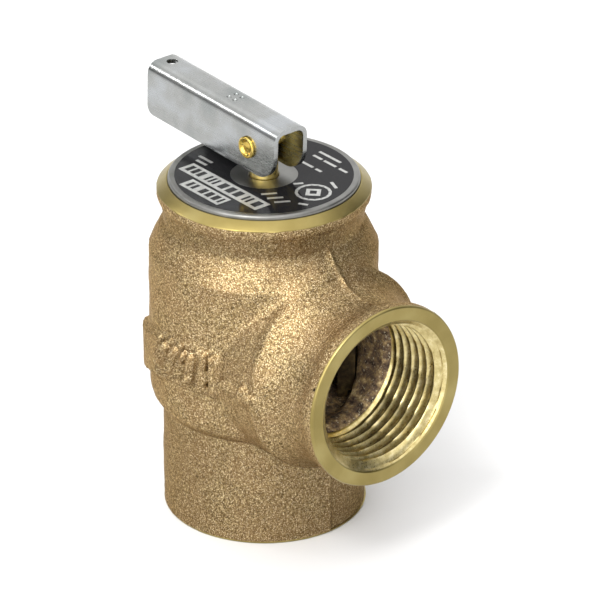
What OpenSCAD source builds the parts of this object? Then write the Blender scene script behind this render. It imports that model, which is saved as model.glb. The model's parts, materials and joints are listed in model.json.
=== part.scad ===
// Spring-loaded pressure relief valve with a test lever: 3/4 inch female inlet and outlet.
// Millimetres, +Z up. The origin is the centre of the inlet's mouth, and the outlet points along +X.

/* [Casting] */
// Outside radius of the inlet boss
inlet_r = 16.75; // [16.2:0.05:17.5]
// Outside radius of the barrel
barrel_r = 18.8; // [18.2:0.1:19.6]
// Height where the lower shoulder meets the barrel
barrel_z0 = 23.5; // [22.5:0.1:24.5]
// Height where the barrel starts to round into the upper shoulder
barrel_z1 = 46.3; // [45.8:0.1:46.8]
// Outside radius of the neck under the rim
neck_r = 16.3; // [15.9:0.1:16.8]
// Largest radius of the rim
rim_r = 17.4; // [17.1:0.1:17.9]
// Height of the rim's machined top edge
rim_top_z = 58.5; // [58.3:0.1:58.8]

/* [Pipe threads] */
// Radius of the thread's crests, the size of the tap drill
thread_r = 11.7; // [11.5:0.05:11.9]
// Depth of each threaded wall
thread_len = 12; // [11:0.5:12.5]
// Radius of the countersunk mouth
mouth_r = 13.1; // [12.8:0.1:13.4]

/* [Outlet] */
// Height of the outlet's axis
outlet_z = 31.2; // [31:0.1:31.6]
// Distance from the valve's axis to the outlet's face
outlet_x = 30.9; // [30.5:0.1:31.3]
// Outside radius of the outlet's end band
outlet_r = 15.5; // [15.3:0.1:15.8]
// Largest radius of the outlet hub
hub_r = 17.2; // [16.9:0.1:17.4]

/* [Seat and spring] */
// Height of the nozzle's seat
seat_z = 25; // [24.8:0.1:25.2]
// Radius of the nozzle's throat
throat_r = 8.5; // [8:0.1:8.7]
// Radius of the chamber round the nozzle and the spring
chamber_r = 15.2; // [15.2:0.05:15.4]
// Diameter of the spring's wire
wire_d = 2.6; // [2.2:0.1:2.7]
// Mean radius of the spring's coil
coil_r = 9.2; // [9:0.1:9.3]
// Number of turns of the spring
coil_turns = 5.5; // [4.5:0.5:5.5]

/* [Nameplate] */
// Radius of the nameplate
plate_r = 15.6; // [15.3:0.05:15.6]
// Height of the nameplate's top face
plate_z = 59.2; // [59:0.1:59.4]
// Thickness of the nameplate
plate_t = 1.0; // [1:0.1:1.2]

/* [Stem and lever] */
// Radius of the stem
stem_r = 2.3; // [2.1:0.05:2.3]
// Height of the lever's pivot
pin_z = 65.0; // [65:0.1:65.2]
// Width of the lever over its two cheeks
lever_w = 6.8; // [6.8:0.1:7.2]
// Thickness of the lever's sheet
lever_t = 0.8; // [0.6:0.1:0.8]
// Distance from the pivot to the lever's far end
lever_back = 26.1; // [24:0.1:28]
// Distance from the pivot to the lever's near end
lever_front = 6.7; // [6.6:0.1:6.7]
// Distance from the pivot up to the lever's top
lever_up = 5.0; // [5:0.1:5.2]
// Distance from the pivot down to the lever's bottom edge
lever_down = 4.1; // [4:0.1:4.1]
// Upward tilt of the lever at rest, in degrees
lever_tilt = 1.8; // [0:0.1:2]
// Radius of the pull-wire hole
wire_hole_r = 0.95; // [0.8:0.05:1.1]

/* [Hidden] */
fine = 96;
over = 1;

// Casting
boss_top_z = 19.3;
shoulder_z = 47.9;
shoulder_r = barrel_r - 0.35;
neck_z = 51.5;
rim_low_z = 54.9;
rim_corner_z = 55.5;
rim_side_z = 56.7;
rim_bevel_z = 57.3;
bevel_r = 15.8;
mouth_chamfer = mouth_r - thread_r;
floor_z = 19.8;
nozzle_r = 10.9;
seat_in_r = 8.9;
seat_out_r = 9.9;
throat_z = 15.2;
top_bore_r = 13.2;
top_bore_z = 49;
ledge_z = 57.9;
recess_r = plate_r + 0.05;
passage_r = 10.6;
ridge_x = 18.7;
groove_x = 24.8;
groove_r = 15.0;
band_x = 28.8;
panel_h = 1.1;
panel_z0 = 27.8;
panel_z1 = 35.4;
mark_h = 1.4;
arrow_x = 15.2;
arrow_h = 0.9;

// Stack of parts above the seat
holder_r = 11;
holder_low_z = seat_z + 0.6;
disc_top_z = seat_z + 2.6;
holder_shoulder_z = disc_top_z + 2;
hub_top_z = holder_shoulder_z + 5.9;
pocket_z = holder_shoulder_z + 0.4;
pocket_r = 3.7;
spring_low_z = holder_shoulder_z + 1.2;
upper_seat_z = 50.4;
spring_top_z = upper_seat_z - 1.2;
plug_z = upper_seat_z + 0.5;
plug_top_z = 56;
bushing_r = 4.2;
flange_r = 5.4;
flange_z = plug_top_z - 1;
ring_top_z = 57.6;
seal_r = 0.65;
plug_seal_z = 52.6;
seal_groove = 1.5;
screw_r = 1.5;
run_fit = 0.06;
clip_z = pocket_z + 2.2;
clip_t = 0.8;
stem_foot_z = pocket_z + 0.3;
foot_r = 3.4;
guide_foot_r = holder_r + 1.3;

// Lever
heel_r = 4.4;
tail_r = 1.5;
bend_r = 2.0;
rivet_r = 1.3;
rivet_head_r = 1.85;
rivet_proud = 0.5;
rivet_hole_r = 0.7;
wire_hole_x = -23.9;
web_clear_r = 3.85;

// A quarter of an ellipse, which rounds the casting's shoulders
function ellipse_arc(cx, cz, rx, rz, a0, a1, n) =
    [for (i = [0 : n]) [cx + rx * cos(a0 + (a1 - a0) * i / n), cz + rz * sin(a0 + (a1 - a0) * i / n)]];

// A plain ring or washer
module ring(r_out, r_in, z0, z1) {
    translate([0, 0, z0])
        difference() {
            cylinder(r = r_out, h = z1 - z0, $fn = fine);
            translate([0, 0, -over]) cylinder(r = r_in, h = z1 - z0 + 2 * over, $fn = fine);
        }
}

module rod(r, z0, z1) {
    translate([0, 0, z0]) cylinder(r = r, h = z1 - z0, $fn = fine);
}

module o_ring(r_in, z) {
    rotate_extrude($fn = fine) translate([r_in + seal_r, z]) circle(r = seal_r, $fn = 32);
}

module barrel_outside() {
    rotate_extrude($fn = fine)
        polygon(concat(
            [[0, 0], [inlet_r - 0.4, 0], [inlet_r, 0.4], [inlet_r, boss_top_z]],
            ellipse_arc(inlet_r, barrel_z0, barrel_r - inlet_r, barrel_z0 - boss_top_z, -60, 0, 8),
            [[barrel_r, barrel_z1], [shoulder_r, shoulder_z], [neck_r + 0.35, neck_z - 0.4],
            [neck_r, neck_z + 0.5], [neck_r, rim_low_z], [rim_r - 0.35, rim_corner_z],
            [rim_r, rim_side_z], [rim_r, rim_bevel_z], [bevel_r, rim_top_z], [0, rim_top_z]]));
}

// The hub is turned about the outlet's axis
module hub_outside() {
    translate([0, 0, outlet_z])
        rotate([0, 90, 0])
            rotate_extrude($fn = fine)
                polygon(concat(
                    [[0, 0], [hub_r, 0], [hub_r, ridge_x]],
                    ellipse_arc(hub_r + 0.3, groove_x, hub_r + 0.3 - groove_r, groove_x - ridge_x,
                        -105, -165, 6),
                    [[groove_r, groove_x], [outlet_r, band_x], [outlet_r, outlet_x - 0.4],
                    [outlet_r - 0.4, outlet_x], [0, outlet_x]]));
}

// Cast web that blends the top of the hub into the neck
module saddle() {
    rotate([90, 0, 0])
        linear_extrude(15, center = true)
            polygon(concat(
                [[neck_r - 4, neck_z + 1], [neck_r - 4, outlet_z], [groove_x, outlet_z + groove_r - 1]],
                ellipse_arc(groove_x, neck_z + 1, groove_x - neck_r, neck_z - outlet_z - groove_r + 1,
                    270, 180, 8)));
}

module cavity() {
    rotate_extrude($fn = fine)
        polygon(concat(
            [[0, -over], [thread_r, -over], [thread_r, thread_len], [throat_r, throat_z],
            [throat_r, seat_z - 0.6], [seat_in_r, seat_z], [seat_in_r, seat_z + over], [0, seat_z + over]]));
    rotate_extrude($fn = fine)
        polygon([[0, seat_z], [seat_out_r, seat_z], [nozzle_r, seat_z - 2], [nozzle_r, floor_z + 0.5],
            [nozzle_r + 0.5, floor_z], [chamber_r - 1.2, floor_z], [chamber_r, floor_z + 1.2],
            [chamber_r, barrel_z1], [top_bore_r, top_bore_z], [top_bore_r, ledge_z], [recess_r, ledge_z],
            [recess_r, rim_top_z + over], [0, rim_top_z + over]]);
}

module outlet_bore() {
    translate([0, 0, outlet_z])
        rotate([0, 90, 0])
            rotate_extrude($fn = fine)
                polygon([[0, 9], [passage_r, 9], [passage_r, outlet_x - mouth_chamfer - thread_len - 1],
                    [thread_r, outlet_x - mouth_chamfer - thread_len], [thread_r, outlet_x - mouth_chamfer],
                    [mouth_r, outlet_x], [mouth_r, outlet_x + over], [0, outlet_x + over]]);
}

// Raised panel on the barrel's left side, which carries the foundry's marks
module raised_panel(a0, a1) {
    intersection() {
        ring(barrel_r + panel_h, barrel_r - 1, panel_z0, panel_z1);
        linear_extrude(panel_z1 + over)
            polygon(concat([[0, 0]], ellipse_arc(0, 0, 2 * barrel_r, 2 * barrel_r, a0, a1, 6)));
    }
}

// Raised foundry marks lie between the barrel and a slightly larger cylinder
module raised_mark(angle, z, height) {
    intersection() {
        ring(barrel_r + height, barrel_r - 1, z - 5, z + 5);
        rotate([0, 0, angle])
            translate([barrel_r - 3, 0, z])
                rotate([90, 0, 90])
                    linear_extrude(8) children();
    }
}

// Flow arrow on the hub's flank, which points to the outlet
module arrow() {
    translate([arrow_x, 1 - hub_r, outlet_z])
        rotate([90, 0, 0])
            linear_extrude(1 + arrow_h)
                polygon([[-4.6, -0.6], [0, -0.6], [0, -2.2], [3.2, 0], [0, 2.2],
                    [0, 0.6], [-4.6, 0.6]]);
}

module body_casting() {
    color("peru")
        difference() {
            union() {
                difference() {
                    union() {
                        barrel_outside();
                        hub_outside();
                        saddle();
                    }
                    cavity();
                }
                raised_panel(-142, -62);
                for (angle = [-98, -91, -84, -77])
                    raised_mark(angle, (panel_z0 + panel_z1) / 2, mark_h)
                        square([1.1, 4.6], center = true);
                arrow();
            }
            outlet_bore();
        }
}

module nameplate() {
    color("black")
        rotate_extrude($fn = fine)
            polygon([[stem_r + 0.45, plate_z - plate_t], [plate_r, plate_z - plate_t],
                [plate_r, plate_z - 0.35], [plate_r - 0.35, plate_z], [stem_r + 0.45, plate_z]]);
}

module nameplate_gasket() {
    color("dimgray") ring(plate_r - 0.2, top_bore_r + 0.2, ledge_z, plate_z - plate_t);
}

module plug_lock_ring() {
    color("goldenrod")
        difference() {
            ring(top_bore_r, 8.5, plug_top_z, ring_top_z);
            for (side = [-1, 1])
                translate([side * 10.9, 0, plug_top_z - over]) cylinder(r = 1.1, h = 4, $fn = 32);
        }
}

module adjusting_plug() {
    color("goldenrod")
        difference() {
            rod(top_bore_r, plug_z, plug_top_z);
            rod(bushing_r, plug_z - over, plug_top_z + over);
            rod(flange_r, flange_z, plug_top_z + over);
            ring(top_bore_r + over, top_bore_r - 2 * seal_r, plug_seal_z - seal_groove / 2,
                plug_seal_z + seal_groove / 2);
            for (side = [-1, 1])
                translate([0, side * 7, plug_top_z - 3]) cylinder(r = 1.2, h = 4, $fn = 32);
        }
}

module plug_seal() {
    color("black") o_ring(top_bore_r - 2 * seal_r, plug_seal_z);
}

module guide_bushing() {
    color("khaki")
        difference() {
            union() {
                rod(bushing_r, plug_z, flange_z);
                rod(flange_r, flange_z, plug_top_z);
            }
            rod(stem_r + run_fit, plug_z - over, plug_top_z + over);
            rod(stem_r + run_fit + 2 * seal_r, plug_top_z - seal_groove, plug_top_z + over);
        }
}

module stem_seal() {
    color("black") o_ring(stem_r + run_fit, plug_top_z - seal_groove + seal_r + 0.1);
}

module thrust_washer() {
    color("tan") ring(9, stem_r + 0.7, upper_seat_z, plug_z);
}

module upper_spring_seat() {
    color("silver")
        difference() {
            union() {
                rod(holder_r, spring_top_z, upper_seat_z);
                rod(coil_r - wire_d / 2 - 0.4, spring_top_z - 1.2, upper_seat_z);
            }
            rod(stem_r + 0.7, spring_top_z - 2, upper_seat_z + over);
        }
}

// The coil closes up over its first and last turn
function coil_z(t) =
    let (closed = wire_d * 0.98,
        low = spring_low_z + wire_d / 2,
        high = spring_top_z - wire_d / 2,
        live_rise = high - low - 2 * closed)
    t < 1 ? low + closed * t
    : t > coil_turns - 1 ? high - closed * (coil_turns - t)
    : low + closed + live_rise * (t - 1) / (coil_turns - 2);

wire_sides = 8;
turn_steps = 20;
coil_rings = coil_turns * turn_steps;
coil_points = [for (i = [0 : coil_rings]) for (k = [0 : wire_sides - 1])
    let (turn = 360 * i / turn_steps,
        side = 360 * (k + 0.5) / wire_sides,
        r = coil_r + wire_d / 2 * cos(side))
    [r * cos(turn), r * sin(turn), coil_z(i / turn_steps) + wire_d / 2 * sin(side)]];
coil_faces = concat(
    [[for (k = [0 : wire_sides - 1]) k]],
    [for (i = [0 : coil_rings - 1]) for (k = [0 : wire_sides - 1])
        [i * wire_sides + k, (i + 1) * wire_sides + k,
        (i + 1) * wire_sides + (k + 1) % wire_sides, i * wire_sides + (k + 1) % wire_sides]],
    [[for (k = [wire_sides - 1 : -1 : 0]) coil_rings * wire_sides + k]]);

module spring() {
    color("dimgray") polyhedron(points = coil_points, faces = coil_faces, convexity = 8);
}

module lower_spring_seat() {
    color("silver")
        difference() {
            union() {
                rod(holder_r, holder_shoulder_z, spring_low_z);
                rod(coil_r - wire_d / 2 - 0.4, holder_shoulder_z, spring_low_z + 1.2);
            }
            rod(6.1, holder_shoulder_z - over, spring_low_z + 2);
        }
}

module disc_holder() {
    color("goldenrod")
        difference() {
            union() {
                rod(holder_r, holder_low_z, holder_shoulder_z);
                rod(6, holder_shoulder_z, hub_top_z);
            }
            rod(10, holder_low_z - over, disc_top_z);
            rod(screw_r, disc_top_z - over, pocket_z - 0.5);
            rod(pocket_r, pocket_z, hub_top_z + over);
            rod(pocket_r + 0.6, clip_z, clip_z + clip_t);
        }
}

module seat_disc() {
    color("black") ring(10, screw_r, seat_z, disc_top_z);
}

module disc_retainer() {
    color("gold") ring(5, screw_r, seat_z - 0.8, seat_z);
}

module disc_screw() {
    color("silver")
        difference() {
            union() {
                rod(screw_r, seat_z - 0.8, pocket_z - 0.6);
                rod(2.7, seat_z - 2.2, seat_z - 0.8);
            }
            translate([-4, -0.35, seat_z - 3]) cube([8, 0.7, 1.4]);
        }
}

// The guide is a collar round the holder on four feet that stand on the chamber's floor
module disc_guide() {
    color("darkgoldenrod") {
        difference() {
            union() {
                ring(holder_r + 1.5, holder_r + run_fit, holder_low_z + 0.2, holder_shoulder_z + 1.6);
                for (turn = [45 : 90 : 315])
                    intersection() {
                        ring(chamber_r - 0.1, guide_foot_r, floor_z, holder_shoulder_z + 1.6);
                        rotate([0, 0, turn]) translate([12, 0, 25]) cube([8, 3.2, 30], center = true);
                    }
            }
            ring(chamber_r + 2, chamber_r - 1.3, floor_z - over, floor_z + 1.4);
        }
    }
}

module stem() {
    color("gold")
        difference() {
            union() {
                rod(stem_r, stem_foot_z, pin_z);
                intersection() {
                    rod(stem_r, pin_z - over, pin_z + web_clear_r);
                    translate([0, 0, pin_z]) sphere(r = web_clear_r, $fn = fine);
                }
                rod(foot_r, stem_foot_z, clip_z - 0.3);
            }
            translate([0, 5, pin_z]) rotate([90, 0, 0]) cylinder(r = rivet_r + 0.05, h = 10, $fn = fine);
        }
}

module stem_clip() {
    color("silver")
        difference() {
            ring(pocket_r + 0.6, stem_r + 0.3, clip_z, clip_z + clip_t);
            translate([0, 0, clip_z - over]) rotate([0, 0, 80]) cube([6, 2.4, 4]);
        }
}

module lever_side() {
    difference() {
        translate([-lever_back, -lever_down]) square([lever_back + lever_front, lever_down + lever_up]);
        translate([lever_front - heel_r, -lever_down - over])
            difference() {
                square([heel_r + over, heel_r + over]);
                translate([0, heel_r + over]) circle(r = heel_r, $fn = fine);
            }
        translate([-lever_back - over, -lever_down - over])
            difference() {
                square([tail_r + over, tail_r + over]);
                translate([tail_r + over, tail_r + over]) circle(r = tail_r, $fn = 64);
            }
    }
}

// Channel section: open below, with rounded bends along its top
module lever_section(shrink) {
    half = lever_w / 2 - shrink;
    top = lever_up - shrink;
    r = bend_r - shrink;
    translate([-half, -10]) square([2 * half, 10 + top - r]);
    translate([-half + r, -10]) square([2 * (half - r), 10 + top]);
    for (side = [-1, 1])
        translate([side * (half - r), top - r]) circle(r = r, $fn = 48);
}

module lever_length(shrink) {
    translate([-lever_back - over, 0, 0])
        rotate([90, 0, 90])
            linear_extrude(lever_back + lever_front + 2 * over) lever_section(shrink);
}

module at_pin() {
    translate([0, 0, pin_z]) rotate([0, lever_tilt, 0]) children();
}

module lever() {
    color("lightgray")
        at_pin()
            difference() {
                intersection() {
                    rotate([90, 0, 0]) linear_extrude(lever_w + 2, center = true) lever_side();
                    lever_length(0);
                }
                lever_length(lever_t);
                rotate([90, 0, 0]) cylinder(r = rivet_r, h = 20, center = true, $fn = fine);
                translate([wire_hole_x, 0, 0]) cylinder(r = wire_hole_r, h = 10, $fn = fine);
            }
}

module lever_rivet() {
    color("gold")
        at_pin()
            rotate([90, 0, 0])
                difference() {
                    union() {
                        cylinder(r = rivet_r, h = lever_w, center = true, $fn = fine);
                        for (side = [-1, 1])
                            translate([0, 0, side * (lever_w + rivet_proud) / 2])
                                cylinder(r = rivet_head_r, h = rivet_proud, center = true, $fn = fine);
                    }
                    cylinder(r = rivet_hole_r, h = 20, center = true, $fn = fine);
                }
}

body_casting();
nameplate();
nameplate_gasket();
plug_lock_ring();
adjusting_plug();
plug_seal();
guide_bushing();
stem_seal();
thrust_washer();
upper_spring_seat();
spring();
lower_spring_seat();
disc_holder();
seat_disc();
disc_retainer();
disc_screw();
disc_guide();
stem();
stem_clip();
lever();
lever_rivet();
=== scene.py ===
import json
import math

import bmesh
import bpy
import numpy as np
from mathutils import Matrix, Vector, noise


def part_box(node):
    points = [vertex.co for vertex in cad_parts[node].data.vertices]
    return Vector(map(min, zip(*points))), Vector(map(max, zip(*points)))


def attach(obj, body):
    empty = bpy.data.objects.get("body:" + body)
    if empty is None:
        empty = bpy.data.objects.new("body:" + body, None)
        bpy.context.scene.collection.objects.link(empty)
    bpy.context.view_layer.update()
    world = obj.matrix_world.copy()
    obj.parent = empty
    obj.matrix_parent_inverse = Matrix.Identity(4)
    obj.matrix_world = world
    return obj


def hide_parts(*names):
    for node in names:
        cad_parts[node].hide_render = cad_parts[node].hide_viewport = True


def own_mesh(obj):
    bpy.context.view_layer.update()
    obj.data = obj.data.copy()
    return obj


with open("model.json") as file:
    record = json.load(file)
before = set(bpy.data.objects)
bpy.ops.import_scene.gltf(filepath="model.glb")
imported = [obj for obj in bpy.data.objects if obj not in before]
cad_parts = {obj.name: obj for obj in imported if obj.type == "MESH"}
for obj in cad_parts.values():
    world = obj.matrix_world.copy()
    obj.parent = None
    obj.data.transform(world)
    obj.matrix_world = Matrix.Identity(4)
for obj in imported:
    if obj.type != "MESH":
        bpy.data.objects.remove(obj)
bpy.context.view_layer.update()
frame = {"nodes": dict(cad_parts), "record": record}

MM = 0.001


# ---------------------------------------------------------------- camera

CAMERA_AZIMUTH = math.radians(51.0)
CAMERA_ELEVATION = math.radians(27.53)
CAMERA_DISTANCE = 860.5 * MM
CAMERA_LENS = 315.0
CAMERA_AIM_RIGHT = 5.82 * MM
CAMERA_AIM_UP = 5.6 * MM
CAMERA_AXIS_Z = 30 * MM
SENSOR_WIDTH = 36


def make_camera():
    az, el = CAMERA_AZIMUTH, CAMERA_ELEVATION
    back = Vector((math.sin(az) * math.cos(el), -math.cos(az) * math.cos(el), math.sin(el)))
    right = Vector((math.cos(az), math.sin(az), 0))
    up = back.cross(right)
    data = bpy.data.cameras.new("camera")
    data.lens = CAMERA_LENS
    data.sensor_width = SENSOR_WIDTH
    data.clip_start, data.clip_end = 0.01, 20
    camera = bpy.data.objects.new("camera", data)
    bpy.context.scene.collection.objects.link(camera)
    centre = Vector((0, 0, CAMERA_AXIS_Z))
    camera.location = centre + back * CAMERA_DISTANCE
    target = centre + right * CAMERA_AIM_RIGHT + up * CAMERA_AIM_UP
    camera.rotation_mode = "QUATERNION"
    camera.rotation_quaternion = (target - camera.location).to_track_quat("-Z", "Y")
    bpy.context.scene.camera = camera


# ---------------------------------------------------------------- sizes, in millimetres

def corner(node, side, axis):
    """One coordinate of a CAD node's box, in millimetres."""
    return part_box(node)[side][axis] / MM


OUTLET_X = corner("body_casting", 1, 0)
RIM_TOP = corner("body_casting", 1, 2)
PLATE_TOP = corner("nameplate", 1, 2)
PLATE_LOW = corner("nameplate", 0, 2)
PLATE_R = corner("nameplate", 1, 0)
STEM_LOW = corner("stem", 0, 2)

# The casting's outside.
OUTLET_Z = 31.2
BOSS_R = 16.75
BARREL_R = 18.8
NECK_R = 16.3
RIM_R = 17.4
HUB_R = 17.2
BAND_R = 15.5
MOUTH_R = 13.1

# The lever's pivot, and how far the lever leans.
PIN_Z = 65.0
TILT = math.radians(1.8)

# Both pipe threads: 14 turns per inch, narrowing by 1 in 16 on the diameter.
THREAD_PITCH = 25.4 / 14
THREAD_CREST = 11.55
THREAD_DEPTH = 1.15
THREAD_TAPER = 1 / 32
THREAD_LENGTH = 12.0
THREAD_FADE = 2.2
CREST_FLAT, FLANK = 0.24, 0.66
RINGS_PER_PITCH = 12

# The hollow inside.
PASSAGE_R, PASSAGE_START = 10.6, 5
CHAMBER_R = 15.2
THROAT_R = 8.5
TOP_BORE_R = 13.2
CORE_BLEND = 1.2


# ---------------------------------------------------------------- mesh helpers

def ellipse(cx, cy, rx, ry, a0, a1, n):
    """Points along part of an ellipse."""
    angles = [math.radians(a0 + (a1 - a0) * i / n) for i in range(n + 1)]
    return [(cx + rx * math.cos(a), cy + ry * math.sin(a)) for a in angles]


def mesh_object(name, points, faces, scale=MM):
    """A new object from points in millimetres."""
    mesh = bpy.data.meshes.new(name)
    mesh.from_pydata([tuple(c * scale for c in p) for p in points], [], faces)
    mesh.update()
    thing = bpy.data.objects.new(name, mesh)
    bpy.context.scene.collection.objects.link(thing)
    return thing


def lathe_points(profile, segments, place):
    """Rings of points round an axis; place turns (radius, height, cos, sin) into a point."""
    points = []
    for radius, height in profile:
        for k in range(segments):
            a = 2 * math.pi * k / segments
            points.append(place(radius, height, math.cos(a), math.sin(a)))
    return points


def about_z(radius, height, c, s):
    return (radius * c, radius * s, height)


def about_outlet(radius, height, c, s):
    return (height, radius * c, OUTLET_Z + radius * s)


def about_pin(radius, height, c, s):
    return (radius * c, height, radius * s)


def ring_faces(rings, segments, closed):
    """Quads between successive rings, and back to the first ring if the profile is closed."""
    faces = []
    for i in range(rings if closed else rings - 1):
        a, b = i * segments, (i + 1) % rings * segments
        for k in range(segments):
            n = (k + 1) % segments
            faces.append((a + k, a + n, b + n, b + k))
    return faces


def lathe(name, profile, place=about_z, segments=128, closed=True):
    """A turned piece: a closed profile of (radius, height) points, none of them on the axis."""
    points = lathe_points(profile, segments, place)
    return mesh_object(name, points, ring_faces(len(profile), segments, closed))


def solid_lathe(name, profile, place=about_z, segments=96):
    """A turned piece with both ends closed by a centre point."""
    points = lathe_points(profile, segments, place)
    faces = ring_faces(len(profile), segments, False)
    for ring, height, flip in ((0, profile[0][1], True), (len(profile) - 1, profile[-1][1], False)):
        centre = len(points)
        points.append(place(0, height, 1, 0))
        for k in range(segments):
            a, b = ring * segments + k, ring * segments + (k + 1) % segments
            faces.append((b, a, centre) if flip else (a, b, centre))
    return mesh_object(name, points, faces)


def tidy_normals(thing):
    bm = bmesh.new()
    bm.from_mesh(thing.data)
    bmesh.ops.recalc_face_normals(bm, faces=bm.faces)
    bm.to_mesh(thing.data)
    bm.free()


def smooth(thing, angle=32):
    """Smooth shading, with creases kept sharp."""
    tidy_normals(thing)
    for polygon in thing.data.polygons:
        polygon.use_smooth = True
    thing.data.set_sharp_from_angle(angle=math.radians(angle))


def apply_modifiers(thing):
    graph = bpy.context.evaluated_depsgraph_get()
    mesh = bpy.data.meshes.new_from_object(thing.evaluated_get(graph))
    thing.modifiers.clear()
    thing.data = mesh


def arrays(mesh):
    """Vertex coordinates of a mesh, as an array."""
    co = np.empty(len(mesh.vertices) * 3)
    mesh.vertices.foreach_get("co", co)
    return co.reshape(-1, 3)


def fractal(points, size, seed, octaves=3):
    """Smooth seeded noise, about -1 to 1, with features of the given size."""
    shift = Vector((seed * 7.31, seed * 3.17, seed * 5.73))
    return np.array([noise.fractal(Vector(p) / size + shift, 0.6, 2.1, octaves) for p in points])


# ---------------------------------------------------------------- casting

def outline_distance(outline, r, z):
    """Signed distance from points (r, z) to a closed outline, negative inside."""
    pts = np.array(outline, float)
    nearest = np.full(len(r), 1e9)
    inside = np.zeros(len(r), bool)
    for (ax, az), (bx, bz) in zip(pts, np.roll(pts, -1, axis=0)):
        ex, ez = bx - ax, bz - az
        length = ex * ex + ez * ez
        if length < 1e-12:
            continue
        t = np.clip(((r - ax) * ex + (z - az) * ez) / length, 0, 1)
        nearest = np.minimum(nearest, (r - ax - t * ex) ** 2 + (z - az - t * ez) ** 2)
        if az != bz:
            crosses = (az > z) != (bz > z)
            inside ^= crosses & (r < ax + (z - az) * ex / ez)
    return np.where(inside, -1, 1) * np.sqrt(nearest)


BARREL = ([(-40, -6), (BOSS_R, -6), (BOSS_R, 18.9), (BOSS_R + 0.65, 19.15)]
          + ellipse(BARREL_R - 2.1, 23.4, 2.1, 4.1, -66, 0, 8)
          + [(BARREL_R, 47.0), (18.65, 47.25), (17.8, 49.1), (17.0, 50.7), (16.60, 51.2),
             (16.36, 51.6), (16.36, 52.2), (16.55, 53.6), (16.78, 54.8), (16.95, 55.25), (17.2, 55.7),
             (RIM_R, 56.5), (RIM_R, 64), (-40, 64)])
HUB = [(-40, -5), (HUB_R, -5), (HUB_R, 16.2), (17.45, 17.5), (17.5, 18.1), (17.25, 18.6), (16.6, 19.3),
       (15.9, 20.3), (15.2, 22.0), (14.85, 23.6), (14.7, 25.2), (14.85, 26.9), (15.2, 28.1), (15.44, 29.0),
       (BAND_R, 29.6), (BAND_R, 38), (-40, 38)]

# Where hub and barrel meet: the blend's width, and what it gains from a height on.
BLEND, BLEND_GAIN = 0.7, 2.2
GAIN_FROM, GAIN_OVER = 42, 6

# The raised panel, by height and by degrees round the barrel, and its far end's droop.
PANEL_Z, PANEL_HALF_Z = 31.6, 3.8
PANEL_MIDDLE, PANEL_HALF = -102, 40
PANEL_HEIGHT, PANEL_CORNER = 1.1, 1.2
DROOP_FROM, DROOP_OVER, DROOP_RATE = -95, 47, 0.08

# The marks on the panel, and the flow arrow on the hub.
MARK_HEIGHT = 0.80
MARK_EDGE = 0.35
ARROW_TIP, ARROW_HEIGHT = 18.6, 1.25
ARROW_HEAD, ARROW_HALF = 3.2, 2.3

# The parting seam, the step between the mould's halves, and where both fade out.
SEAM_HEIGHT, SEAM_WIDTH = 0.30, 0.40
MOULD_STEP = 0.24
SEAM_END_X, SEAM_END_Z = 29, 55


def smooth_min(a, b, k):
    """The smaller of two distances, with a blend of width k where they meet."""
    h = np.clip(0.5 + 0.5 * (b - a) / k, 0, 1)
    return b + (a - b) * h - k * h * (1 - h)


def box_distance(u, v, cu, cv, half_u, half_v):
    """Signed distance to a rectangle."""
    du, dv = np.abs(u - cu) - half_u, np.abs(v - cv) - half_v
    outside = np.hypot(np.maximum(du, 0), np.maximum(dv, 0))
    return outside + np.minimum(np.maximum(du, dv), 0)


def stroke_distance(u, v, u0, v0, u1, v1, half):
    """Distance to a straight stroke with round ends."""
    eu, ev = u1 - u0, v1 - v0
    t = np.clip(((u - u0) * eu + (v - v0) * ev) / (eu * eu + ev * ev), 0, 1)
    return np.hypot(u - u0 - t * eu, v - v0 - t * ev) - half


def raised_marks(angle, z):
    """How far the raised foundry marks stand out, for points on the barrel."""
    def arc(degrees):
        return BARREL_R * math.radians(degrees)

    u = BARREL_R * np.radians(angle)
    v = z - PANEL_Z
    droop = DROOP_RATE * np.clip(DROOP_FROM - angle, 0, DROOP_OVER)
    panel = box_distance(u, v + droop, arc(PANEL_MIDDLE), 0, arc(PANEL_HALF) - PANEL_CORNER,
                         PANEL_HALF_Z - PANEL_CORNER) - PANEL_CORNER
    bars = [stroke_distance(u, v, arc(degrees), -2.3, arc(degrees + 5), 2.2, 0.42)
            for degrees in (-100, -93, -86)]
    bars += [stroke_distance(u, v, arc(-79), -2.4, arc(-77), 2.2, 0.5),
             stroke_distance(u, v, arc(-64), -3.6, arc(-63.5), 3.4, 0.65)]
    bar = np.minimum.reduce(bars)
    halo = np.clip(1 - np.abs(bar - 0.55) / 0.45, 0, 1)
    on_panel = np.clip(0.5 - panel / 0.4, 0, 1)
    marks = MARK_HEIGHT * np.clip(0.5 - bar / MARK_EDGE, 0, 1)
    return PANEL_HEIGHT * on_panel + marks - MARK_HEIGHT * halo * on_panel


def raised_arrow(x, z):
    """Height of the flow arrow on the hub's flank."""
    slant = np.abs(z - OUTLET_Z) * ARROW_HEAD + (x - ARROW_TIP) * ARROW_HALF
    head = np.maximum(slant / math.hypot(ARROW_HEAD, ARROW_HALF), ARROW_TIP - ARROW_HEAD - x)
    shaft = stroke_distance(x, z - OUTLET_Z, ARROW_TIP - 8, 0, ARROW_TIP - 3, 0, 0.5)
    return ARROW_HEIGHT * np.clip(0.5 - np.minimum(head, shaft) / MARK_EDGE, 0, 1)


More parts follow.
